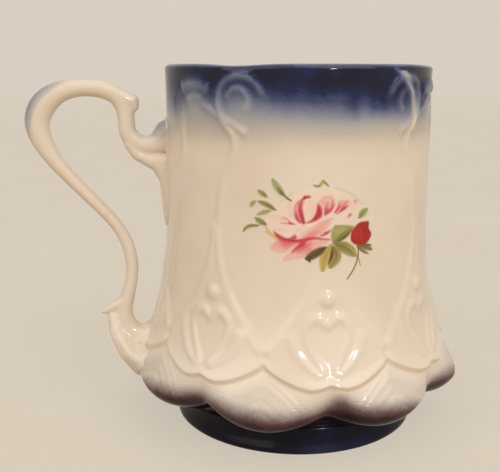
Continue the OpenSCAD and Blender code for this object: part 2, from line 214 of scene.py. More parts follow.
def ornament(angle, z):
    """Height of the moulded ornament above the plain wall."""
    off = np.abs(off_unit(angle))
    x = np.radians(off) * wall_radius(z)
    side = np.abs(from_front(angle))
    fold = 90 - np.abs(90 - side)
    plain_unit = np.abs(fold - 45) > pitch / 2
    fade = np.where(plain_unit, ease((plain_top - z) / 12), ease((arch_top - z) / 4))
    half_w = np.interp(z, [p[1] for p in ARCH], [p[0] for p in ARCH])
    inside = np.radians(half_w - off) * wall_radius(z)
    raised = field_h * ease(inside / 1.6) * ease((60 - z) / 18) * fade
    gap, _ = nearest(x, z, on_arch(ARCH))
    lines = line_h * bell(gap / 0.9) * fade
    # The heart's line is broad over its top and thin at its point, and the lobe beside it thins downwards
    gap, along = nearest(x, z, on_arch(HEART))
    top = ease(1.9 - along * 3.2)
    heart = mix(0.5, 0.7, top) * bell(gap / mix(0.8, 1.25, top)) * ease((1.02 - along) * 6)
    lines = np.maximum(lines, heart)
    gap, along = nearest(x, z, on_arch(LOBE))
    lines = np.maximum(lines, line_h * bell(gap / mix(1.5, 0.7, along)))
    lines = lines - heart_deep * bell(((x / 3.4) ** 2 + ((z - 34.2) / 3) ** 2) / 1.2)
    round_off = 1 - (x * x + (z - bead_z) ** 2) / bead_r ** 2
    lines = np.maximum(lines, bead_h * np.sqrt(np.clip(round_off, 0, 1)) * np.sqrt(fade))
    hem = hem_height(crest_share(angle))
    lines = np.maximum(lines, hem_line_h * bell((z - hem - 2) / 1.2))
    # The wall is left plain under the handle
    clear = ease((np.abs(angle - handle_at) - 7) / 6)
    lines = 0.85 * lines * mix(clear, 1, ease((z - 62) / 6))
    across = np.radians(fold) * wall_r
    for points, half, height in PANEL_LINES:
        gap, along = nearest(across, z, on_panel(points))
        ends = ease(along * 9) * ease((1 - along) * 9) * mix(0.5, 1, ease((z - 74) / 12))
        lines = np.maximum(lines, height * bell(gap / half) * ends)
    return (raised + lines) * ease((cup_h - z) / 1.5)


def uneven(angle, z):
    """The slight waviness that a cast wall keeps after firing."""
    slow = 0.1 * np.sin(np.radians(3 * angle + 40)) * np.sin(z / 17)
    quick = 0.06 * np.sin(np.radians(7 * angle) + z / 9)
    return (slow + quick) * ease((z - hem_peak) / 10) * ease((cup_h - z) / 6)


def veins(angle, z):
    """Height of the fine ribs on a petal, which slant down on both sides of its middle line."""
    apart, rib_h, middle_deep = 2.1, 0.4, 0.16
    share = crest_share(angle)
    # Millimetres from the petal's middle line
    e = np.radians((1 - share) * pitch / 2) * hem_r
    row = (z + 0.4 * e + 0.035 * e * e) / apart + 0.25 * np.sin(z / apart + e / 5)
    worn = 0.7 + 0.3 * np.sin(e * 0.8 + z * 0.7)
    fine = rib_h * worn * (np.abs(np.cos(np.pi * row)) ** 0.7 - 0.7) * ease(share * 2.4) * ease(e / 1.2)
    return (fine - middle_deep * bell(e / 0.9)) * ease((z - 12) / 4) * ease((hem_peak - z) / 3)


# The cobalt mist round the rim: height and strength
RIM_MIST = [(77, 0), (81.9, 0.05), (86.4, 0.12), (88.4, 0.25), (90.4, 0.43), (92.8, 0.68), (95.1, 0.87),
            (97.7, 1)]
# How it thins over the lip, where the thinner cobalt also paints the pale highlight line along the lip's
# crest: share of the way across and strength
LIP_MIST_AND_HIGHLIGHT = [(0, 1), (0.07, 0.95), (0.14, 0.8), (0.25, 0.6), (0.5, 0.42), (0.7, 0.16), (0.9, 0)]
# Where the mist hangs lower or stops higher: degrees from the front, half width, millimetres
MIST_RUNS = [(10, 2.4, 1.6), (17.7, 2.2, 1.4), (23, 2, 1), (30, 14, 0.8), (48, 5, 2), (60, 6, -3),
             (-12, 12, -0.6), (-36, 9, -2.4), (-57, 8, -3), (75, 8, -1.2), (104, 10, 1.4), (150, 12, -1.8),
             (-160, 9, 1.5), (-120, 10, -1.4)]
# A ridge from which the mist was wiped while wet
WIPED = [(28.6, 101.8), (33.7, 99.1), (37.8, 96.6), (40.4, 93.3), (41.2, 89.3), (40, 86.6)]


def rim_mist(angle, z, relief):
    """Strength of the cobalt mist round the rim, which is thinner on raised lines."""
    rel = from_front(angle)
    drop = np.zeros(rel.shape)
    for at, half, low in MIST_RUNS:
        drop = drop + low * bell(from_front(angle - at) / half)
    drop = drop * ease((z - 86) / 7)
    mist = np.interp(z + drop, *zip(*RIM_MIST))
    gap, _ = nearest(np.radians(rel) * wall_r, z, on_panel(WIPED))
    return mist * (1 - 0.75 * bell(gap / 1.15)) * (1 - 0.55 * np.clip(relief, 0, 1))


def foot_mist_and_cleft_shade(angle, z):
    """Strength of the dark spray round the petals' undersides, which stays lower by the handle and on the
    right-hand petal. Beside the front valley it reaches higher as painted shade in the cleft between the
    petals."""
    # Where it ends above, and where it is full in a valley and on a crest
    ends_z, full_valley_z, full_crest_z = 23.4, 12.6, 9.8
    s = swell(crest_share(angle))
    lower = 8 * bell((angle - handle_at) / handle_room) + 4 * bell((angle - front - 38) / 7)
    # Painted shade: the spray reaches higher beside the front valley to darken the cleft between the petals
    lower = lower - 2.2 * bell((angle - front - 4) / 4.5)
    top = ends_z - lower
    low = mix(full_valley_z, full_crest_z, s) - lower
    cool = 0.25 * ease((hem_height(crest_share(angle)) - z) / 4)
    return np.maximum(ease((top - z) / (top - low)), cool)


# Modelling helpers

def clear_selection():
    if bpy.context.object and bpy.context.object.mode != "OBJECT":
        bpy.ops.object.mode_set(mode="OBJECT")
    bpy.ops.object.select_all(action="DESELECT")


def select_only(pieces):
    clear_selection()
    for piece in pieces:
        piece.select_set(True)
    bpy.context.view_layer.objects.active = pieces[0]


def points_of(piece):
    co = np.empty(len(piece.data.vertices) * 3)
    piece.data.vertices.foreach_get("co", co)
    return co.reshape(-1, 3) / MM


def move_points(piece, co):
    piece.data.vertices.foreach_set("co", (np.asarray(co) * MM).ravel())
    piece.data.update()


def value_on_points(piece, name, values):
    layer = piece.data.attributes.new(name, "FLOAT", "POINT")
    layer.data.foreach_set("value", np.asarray(values, np.float32).ravel())


def apply_modifier(piece, kind, **settings):
    modifier = piece.modifiers.new(kind.lower(), kind)
    for key, value in settings.items():
        setattr(modifier, key, value)
    bpy.context.view_layer.objects.active = piece
    bpy.ops.object.modifier_apply(modifier=modifier.name)


def clean_up():
    """Merges the active piece's doubled points and turns its faces outwards."""
    bpy.ops.object.mode_set(mode="EDIT")
    bpy.ops.mesh.select_all(action="SELECT")
    bpy.ops.mesh.remove_doubles(threshold=0.002 * MM)
    bpy.ops.mesh.normals_make_consistent(inside=False)
    bpy.ops.object.mode_set(mode="OBJECT")


def thrown(name, profile, steps):
    """Turns a profile of radius and height about the cup's axis, as on a potter's wheel."""
    clear_selection()
    bpy.ops.mesh.primitive_plane_add(size=MM)
    piece = bpy.context.object
    piece.name = name
    bpy.ops.object.mode_set(mode="EDIT")
    bpy.ops.mesh.select_all(action="SELECT")
    bpy.ops.mesh.merge(type="CENTER")
    at = (0, 0)
    for r, z in profile:
        step = ((r - at[0]) * MM, 0, (z - at[1]) * MM)
        if at == (0, 0):
            bpy.ops.transform.translate(value=step)
        else:
            bpy.ops.mesh.extrude_region_move(TRANSFORM_OT_translate={"value": step})
        at = (r, z)
    bpy.ops.mesh.select_all(action="SELECT")
    bpy.ops.mesh.spin(steps=steps, angle=2 * math.pi, center=(0, 0, 0), axis=(0, 0, 1))
    clean_up()
    bpy.ops.object.shade_smooth()
    return piece


# The body: thrown as a plain pot, then pressed into petals, hem and ornament. Each band of its profile has
# a name and a number of rows.
BANDS = [("under", 4), ("neck", 4), ("roll", 14), ("face", 30), ("hem", 7), ("skirt", 44), ("wall", 96),
         ("lip", 10), ("inside", 18), ("corner", 6), ("floor", 3)]
body_steps = 384


def petal_form(angle):
    """Belly radius, belly height, roll, underside and hem of the petals at an angle."""
    share = crest_share(angle)
    s = mix(swell(share), 1, bell((angle - handle_at) / handle_room))
    edge_z = hem_height(share)
    edge_r = wall_radius(edge_z + hem_edge)
    under_hem = edge_r + petal_step * share
    return (mix(valley_r, petal_r, s), mix(valley_z, petal_z, s), mix(valley_roll, petal_roll, s),
            mix(valley_under, petal_under, s), edge_z, edge_r, under_hem)


def face_share(t):
    """How far a petal's face has drawn in from its belly to the hem."""
    return t ** face_bend


def outer_radius(angle, z):
    """The body's outside, without its fine relief."""
    belly_r, belly_z, roll, under_z, edge_z, _, under_hem = petal_form(angle)
    low = np.clip((belly_z - z) / (belly_z - under_z), 0, 1) ** (1 / roll_flat)
    under = belly_r - roll * (1 - np.sqrt(1 - low * low) ** roll_flat)
    face = mix(belly_r, under_hem, face_share(np.clip((z - belly_z) / (edge_z - belly_z), 0, 1)))
    return np.where(z > edge_z + hem_edge, wall_radius(z), np.where(z > belly_z, face, under))


def body_form(band, t, angle):
    """Radius and height of the body at a share t of a band."""
    belly_r, belly_z, roll, under_z, edge_z, edge_r, under_hem = petal_form(angle)
    quarter = np.pi / 2 * t
    corner_z = floor_z + bowl_round
    corner_r = bowl_radius(corner_z)
    top_r = wall_radius(cup_h - lip_round)
    forms = {
        "under": (neck_r * t, foot_h + under_dome * (1 - t * t)),
        "neck": (mix(neck_r, belly_r - roll, t), mix(foot_h, under_z, t ** 1.6)),
        "roll": (belly_r - roll * (1 - np.sin(quarter) ** roll_flat),
                 belly_z - (belly_z - under_z) * np.cos(quarter) ** roll_flat),
        "face": (mix(belly_r, under_hem, face_share(t)), mix(belly_z, edge_z, t)),
        "hem": (mix(under_hem, edge_r, ease(t)), edge_z + hem_edge * t),
        "skirt": (None, mix(edge_z + hem_edge, skirt_top, t ** 1.15)),
        "wall": (None, mix(skirt_top, cup_h - lip_round, t)),
        "lip": (mix(bore_r, top_r, 0.5 + np.cos(np.pi * t) / 2),
                cup_h - lip_round * (1 - np.sin(np.pi * t))),
        "inside": (None, mix(cup_h - lip_round, corner_z, t)),
        "corner": (corner_r - bowl_round * (1 - np.cos(quarter)), corner_z - bowl_round * np.sin(quarter)),
        "floor": ((corner_r - bowl_round) * (1 - t), floor_z + 0 * t)}
    r, z = forms[band]
    z = z + 0 * angle
    if band == "inside":
        r = bowl_radius(z)
    elif r is None:
        r = wall_radius(z)
    return r + 0 * angle, z


def cup_body():
    rows = [(band, k / count) for band, count in BANDS for k in range(count)] + [("floor", 1.0)]
    valley = np.zeros(1)
    profile = [tuple(float(v[0]) for v in body_form(band, t, valley)) for band, t in rows]
    piece = thrown("cup_body_shell", profile, body_steps)
    co = points_of(piece)
    radius = np.hypot(co[:, 0], co[:, 1])
    angle = angle_of(co)
    p = np.array(profile)
    row = np.array([np.argmin((p[:, 0] - r) ** 2 + (p[:, 1] - z) ** 2) for r, z in zip(radius, co[:, 2])])
    relief = np.zeros(len(co))
    rim_spray_and_highlight = np.zeros(len(co))
    foot_spray_and_shade = np.zeros(len(co))
    for k, (band, t) in enumerate(rows):
        at = row == k
        a = angle[at]
        r, z = body_form(band, t, a)
        if band in ("hem", "skirt", "wall"):
            relief[at] = ornament(a, z) * (ease(t) if band == "hem" else 1)
            r = r + relief[at] + uneven(a, z)
        if band in ("roll", "face"):
            r = r + veins(a, z) * (ease(t * 2) if band == "roll" else ease((1 - t) * 4))
        if band == "lip":
            rel = from_front(a)
            dip = 0.5 * bell((rel + 37) / 12) + 0.3 * bell((rel - 62) / 14)
            dip = dip + 0.4 * bell((np.abs(rel) - 150) / 20)
            z = z - dip * np.sin(np.pi * t)
            # Painted highlight: the cobalt thins over the lip's crest as a glaze does on an edge, and also
            # to paint the pale line of light along the lip
            rim_spray_and_highlight[at] = np.interp(t, *zip(*LIP_MIST_AND_HIGHLIGHT)) * rim_mist(a, z + 2, 0 * a)
        if band in ("skirt", "wall"):
            rim_spray_and_highlight[at] = rim_mist(a, z, relief[at])
        if band in ("neck", "roll", "face"):
            foot_spray_and_shade[at] = foot_mist_and_cleft_shade(a, z)
        if band == "under":
            foot_spray_and_shade[at] = 1
        co[at] = round_axis(r, a, z)
    move_points(piece, co)
    value_on_points(piece, "rim_spray_and_highlight", rim_spray_and_highlight)
    value_on_points(piece, "foot_spray_and_shade", foot_spray_and_shade)
    return piece


def foot():
    """Turns the foot ring. Its cobalt thins at the lower edge, a little to the right of the front."""
    ring_t = 6
    inner = foot_r - ring_t
    profile = [(neck_r, foot_top), (neck_r - 0.2, 6), (neck_r, 4.4), (neck_r + 0.45, 2.9),
               (foot_r - 0.2, 1.8), (foot_r, 1.1), (foot_r - 0.1, 0.5), (foot_r - 0.5, 0.12),
               (foot_r - 1.1, 0), (inner + 1.4, 0), (inner + 0.6, 0.15), (inner + 0.15, 0.6), (inner, 1.2),
               (inner - 0.5, 3.4), (inner - 1, 5.6), (inner - 1.2, foot_top), (neck_r, foot_top)]
    piece = thrown("foot_ring_turned", profile, 192)
    co = points_of(piece)
    angle = angle_of(co)
    value_on_points(piece, "thin_cobalt", bell((angle - front - 6) / 18) * ease((3.4 - co[:, 2]) / 1.6))
    return piece


# The drinking ledge: two rounded fronts, and an opening along the wall behind them
guard_edge = bore_r - 0.5
front_off, front_deep, front_r = 14, 27, 24
guard_front = (front_off, bore_r - front_deep + front_r, front_r)
sip_deep, sip_half = 9, 13
sip_r = (sip_deep ** 2 + sip_half ** 2) / (2 * sip_deep)
sip_y = bore_r - sip_deep + sip_r


def ledge():
    """Cuts the ledge's outline, raises it to its thickness and rounds its edges."""
    fx, fy, fr = guard_front

    def on_circle(centre, r, start, end, count):
        t = np.radians(np.linspace(start, end, count, endpoint=False))
        return np.column_stack([centre[0] + r * np.cos(t), centre[1] + r * np.sin(t)])

    def crossing(centre, r):
        """Angle about the cup's axis where a circle leaves the ledge's outer edge."""
        d = math.hypot(*centre)
        return math.degrees(math.acos((d * d + guard_edge ** 2 - r * r) / (2 * d * guard_edge)))

    def at_edge(turn):
        return guard_edge * math.cos(math.radians(turn)), guard_edge * math.sin(math.radians(turn))

    mid = math.degrees(math.atan2(fy, fx))
    right = mid - crossing((fx, fy), fr)
    sip = 90 - crossing((0, sip_y), sip_r)
    wall_end = at_edge(right)
    front_end = math.degrees(math.atan2(wall_end[1] - fy, wall_end[0] - fx))
    cusp = math.degrees(math.atan2(-math.sqrt(fr * fr - fx * fx), -fx))
    sip_end = at_edge(sip)
    sip_start = math.degrees(math.atan2(sip_end[1] - sip_y, sip_end[0]))
    half = np.vstack([on_circle((fx, fy), fr, cusp, front_end, 40),
                      on_circle((0, 0), guard_edge, right, sip, 30),
                      on_circle((0, sip_y), sip_r, sip_start, -90, 24)])
    low = np.array([[0, sip_y - sip_r]])
    mirrored = (half * [-1, 1])[:0:-1]
    outline = np.vstack([half, low, mirrored])
    clear_selection()
    bpy.ops.mesh.primitive_circle_add(vertices=len(outline), radius=MM, fill_type="NGON")
    piece = bpy.context.object
    piece.name = "mustache_guard_ledge"
    move_points(piece, np.column_stack([outline, np.full(len(outline), guard_under)]))
    bpy.ops.object.mode_set(mode="EDIT")
    bpy.ops.mesh.select_all(action="SELECT")
    rise = (0, 0, (guard_top - guard_under) * MM)
    bpy.ops.mesh.extrude_region_move(TRANSFORM_OT_translate={"value": rise})
    bpy.ops.mesh.select_all(action="SELECT")
    bpy.ops.mesh.normals_make_consistent(inside=False)
    bpy.ops.object.mode_set(mode="OBJECT")
    apply_modifier(piece, "BEVEL", width=1.1 * MM, segments=5, limit_method="ANGLE",
                   angle_limit=math.radians(50))
    select_only([piece])
    bpy.ops.object.shade_smooth_by_angle(angle=math.radians(40))
    return piece


# Places on the handle, across and up: its upper lobe by the wall, the loop's outer turn, the upper joint
lobe_at = (-40.2, 86.4)
turn_at = (-74, 93)
joint_at = (-39.5, 86.5)


def handle():
    """Softens the handle's casting, flares its ends on the wall and cuts the leaf's veins."""

    def off_place(place_at, squash=1.0):
        return np.hypot(co[:, 0] - place_at[0], (co[:, 2] - place_at[1]) * squash)

    copies = []
    for node in ("handle", "handle_top_slip", "handle_root_slip"):
        twin = bpy.data.objects.new("handle_cast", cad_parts[node].data.copy())
        twin.data.materials.clear()
        bpy.context.scene.collection.objects.link(twin)
        copies.append(twin)
    select_only(copies)
    piece = copies[0]
    bpy.ops.object.join()
    bpy.ops.object.mode_set(mode="EDIT")
    bpy.ops.mesh.select_all(action="SELECT")
    bpy.ops.mesh.remove_doubles(threshold=0.004 * MM)
    bpy.ops.object.mode_set(mode="OBJECT")
    apply_modifier(piece, "REMESH", mode="VOXEL", voxel_size=0.34 * MM, adaptivity=0)
    apply_modifier(piece, "SMOOTH", factor=0.5, iterations=12)
    normals = np.empty(len(piece.data.vertices) * 3)
    piece.data.vertices.foreach_get("normal", normals)
    normals = normals.reshape(-1, 3)
    co = points_of(piece)
    radius = np.hypot(co[:, 0], co[:, 1])
    angle = angle_of(co)
    out = np.column_stack([co[:, 0] / radius, co[:, 1] / radius, np.zeros(len(co))])
    gap = radius - outer_radius(angle, co[:, 2])
    sideways = normals - out * np.sum(normals * out, axis=1)[:, None]
    # 1 at the handle's lower end and 0 at its upper end
    root = ease((34 - co[:, 2]) / 6)
    flare = mix(1.3, 2, root) * np.clip(1 - gap / mix(2.8, 4.2, root), 0, 1) ** 2
    tucked = mix(0.85, 0.15, root * ease((co[:, 2] - 15) / 3))
    flare = flare * (1 - tucked * ease(-1.5 * normals[:, 2])) * ease((co[:, 2] - 9) / 3)
    sink = 0.9 * ease(1 - gap / 0.9)
    lobe = 0.7 * bell(off_place(lobe_at) / 2.2) * ease(normals[:, 2] * 2) * ease((gap - 0.4) / 1.4)
    co = co + sideways * flare[:, None] - out * sink[:, None] + normals * lobe[:, None]
    reach = -co[:, 0] - wall_r
    # Veins that fan out from a place above the leaf
    leaf = ease((29 - co[:, 2]) / 4) * ease((reach - 2) / 3) * ease((np.abs(co[:, 1]) - 1) / 2)
    fan = np.degrees(np.arctan2(np.abs(co[:, 1]), 36 - co[:, 2]))
    co = co + normals * (0.22 * np.cos(np.radians(fan * 24)) * leaf)[:, None]
    move_points(piece, co)
    # A breath of the rim's mist on the loop's outer turn and at the upper joint
    loop = off_place(turn_at, 0.7) / 8
    outward = ease((normals[:, 2] * 0.6 - normals[:, 0] * 0.8) / 0.8)
    joint = off_place(joint_at, 0.7) / 3.2
    value_on_points(piece, "rim_spray_and_highlight", 0.34 * bell(loop) * outward + 0.25 * bell(joint))
    value_on_points(piece, "foot_spray_and_shade", foot_mist_and_cleft_shade(angle, co[:, 2]) * ease((30 - co[:, 2]) / 10))
    select_only([piece])
    bpy.ops.object.shade_smooth()
    return piece


# The rose transfer, drawn in millimetres from the bloom's middle
bloom_at = (-4.7, 66)
film_lift, film_t = 0.02, 0.02


def on_wall(u, v, lift):
    """A point of the drawing as a place on the body's front."""
    angle = front + np.degrees(u / wall_r)
    return round_axis(wall_radius(v) + ornament(angle, v) + uneven(angle, v) + lift, angle, v)


def film(name, count_x, count_y, shape, flat, lift=0.0):
    """A thin film of enamel: a grid bent to a shape and laid on the wall. It is flat over a share of its
    width, and from there its edge slopes down into the glaze."""
    clear_selection()
    bpy.ops.mesh.primitive_grid_add(x_subdivisions=count_x, y_subdivisions=count_y, size=2)
    piece = bpy.context.object
    piece.name = name
    grid = points_of(piece)[:, :2] * MM
    drawn = shape(grid[:, 0], grid[:, 1])
    to_edge = np.max(np.abs(grid), axis=1)
    rise = np.interp(to_edge, [flat, 0.6 + 0.3 * flat, 1], [film_lift + lift, 0, -0.1])
    move_points(piece, on_wall(drawn[:, 0] + bloom_at[0], drawn[:, 1] + bloom_at[1], rise))
    clean_up()
    apply_modifier(piece, "SOLIDIFY", thickness=film_t * MM, offset=0)
    bpy.ops.object.shade_smooth()
    return piece


def rounded(outline, middle):
    """Maps a square grid to the inside of a round outline."""
    edge = curve(list(outline) + [outline[0]], 8) - middle
    turn = np.arctan2(edge[:, 1], edge[:, 0])
    order = np.argsort(turn)
    turn, reach = turn[order], np.hypot(edge[:, 0], edge[:, 1])[order]

    def shape(x, y):
        dx, dy = x * np.sqrt(1 - y * y / 2), y * np.sqrt(1 - x * x / 2)
        to_edge = np.interp(np.arctan2(dy, dx), turn, reach, period=2 * np.pi)
        return np.column_stack([dx * to_edge + middle[0], dy * to_edge + middle[1]])
    return shape


def blade(spine, half, fullness):
    """Maps a square grid to a leaf about a spine, pointed at both ends."""
    line = curve(spine, 8)
    share = np.linspace(-1, 1, len(line))

    def shape(x, y):
        along = np.column_stack([np.interp(x, share, line[:, k]) for k in (0, 1)])
        run = np.column_stack([np.interp(x, share, np.gradient(line[:, k])) for k in (0, 1)])
        run = run / np.hypot(run[:, 0], run[:, 1])[:, None]
        width = half * np.clip(np.cos(np.pi / 2 * x), 0.02, 1) ** fullness * y
        return along + np.column_stack([-run[:, 1], run[:, 0]]) * width[:, None]
    return shape


def linear(code):
    """An sRGB hex colour as linear values."""
    values = [int(code[i:i + 2], 16) / 255 for i in (1, 3, 5)]
    return [v / 12.92 if v <= 0.04045 else ((v + 0.055) / 1.055) ** 2.4 for v in values]


def wash(colour, points, soft=0.6, strength=1.0):
    """A filled patch of colour with a soft edge."""
    outline = curve(list(points) + [points[0]], 5)

    def cover(u, v):
        gap, _ = nearest(u, v, outline)
        inside = np.zeros(u.shape, bool)
        for a, b in zip(outline[:-1], outline[1:]):
            spans = (a[1] > v) != (b[1] > v)
            with np.errstate(divide="ignore", invalid="ignore"):
                cut = a[0] + (v - a[1]) * (b[0] - a[0]) / (b[1] - a[1])
            inside ^= spans & (u < cut)
        return strength * ease(0.5 + np.where(inside, gap, -gap) / (2 * soft))
    return colour, outline, soft, cover


def stroke(colour, points, width, end=0.3, soft=0.35, strength=1.0, start=0.25):
    """A brush stroke that is thin where the brush is set down and lifted."""
    line = curve(points, 6)

    def cover(u, v):
        gap, along = nearest(u, v, line)
        half = width / 2 * np.interp(along, [0, 0.4, 1], [start, 1, end])
        return strength * ease(0.5 + (half - gap) / (2 * soft))
    return colour, line, width / 2 + soft, cover


def leaf_wash(colour, spine, half, fullness, soft):
    """A pointed leaf about its spine, with a soft edge."""
    line = curve(spine, 6)

    def cover(u, v):
        gap, along = nearest(u, v, line)
        width = half * np.sin(np.pi * np.clip(along, 0.02, 0.98)) ** fullness
        return ease(0.5 + (width - gap) / (2 * soft))
    return colour, line, half + soft, cover


def within(shape, layer):
    """A layer that stays inside another layer's shape."""
    return layer[0], layer[1], layer[2], lambda u, v: shape[3](u, v) * layer[3](u, v)


def paint(piece, layers):
    """Lays the colours over each other on the film's points."""
    co = points_of(piece)
    angle = angle_of(co)
    u = np.radians(angle - front) * wall_r - bloom_at[0]
    v = co[:, 2] - bloom_at[1]
    rgba = np.zeros((len(co), 4))
    for colour, line, reach, cover in layers:
        low, high = line.min(axis=0) - reach, line.max(axis=0) + reach
        near = (u > low[0]) & (u < high[0]) & (v > low[1]) & (v < high[1])
        a = np.zeros(len(co))
        a[near] = np.clip(cover(u[near], v[near]), 0, 1)
        under = rgba[:, 3] * (1 - a)
        total = np.maximum(a + under, 1e-6)
        rgba[:, :3] = (np.outer(a, linear(colour)) + rgba[:, :3] * under[:, None]) / total[:, None]
        rgba[:, 3] = a + under
    layer = piece.data.color_attributes.new("print", "FLOAT_COLOR", "POINT")
    layer.data.foreach_set("color", rgba.astype(np.float32).ravel())


# The print's colours and the room that the bloom's film takes
PALE, BLUSH, PINK, ROSE, CRIMSON, DEEP = "#E8D3C2", "#E6C1B2", "#E3A399", "#D67277", "#C84254", "#A92A40"
MAUVE, OCHRE = "#B4A6A4", "#CFA75E"
BLOOM_EDGE = [(-13, -3.2), (-10.4, 1.8), (-5.4, 5.6), (0, 7.6), (6, 7.8), (13, 6), (16.4, 1.8),
              (13.6, -3.2), (7.6, -5.8), (5, -9.4), (-0.4, -12.4), (-7.2, -13.4), (-10.8, -9)]

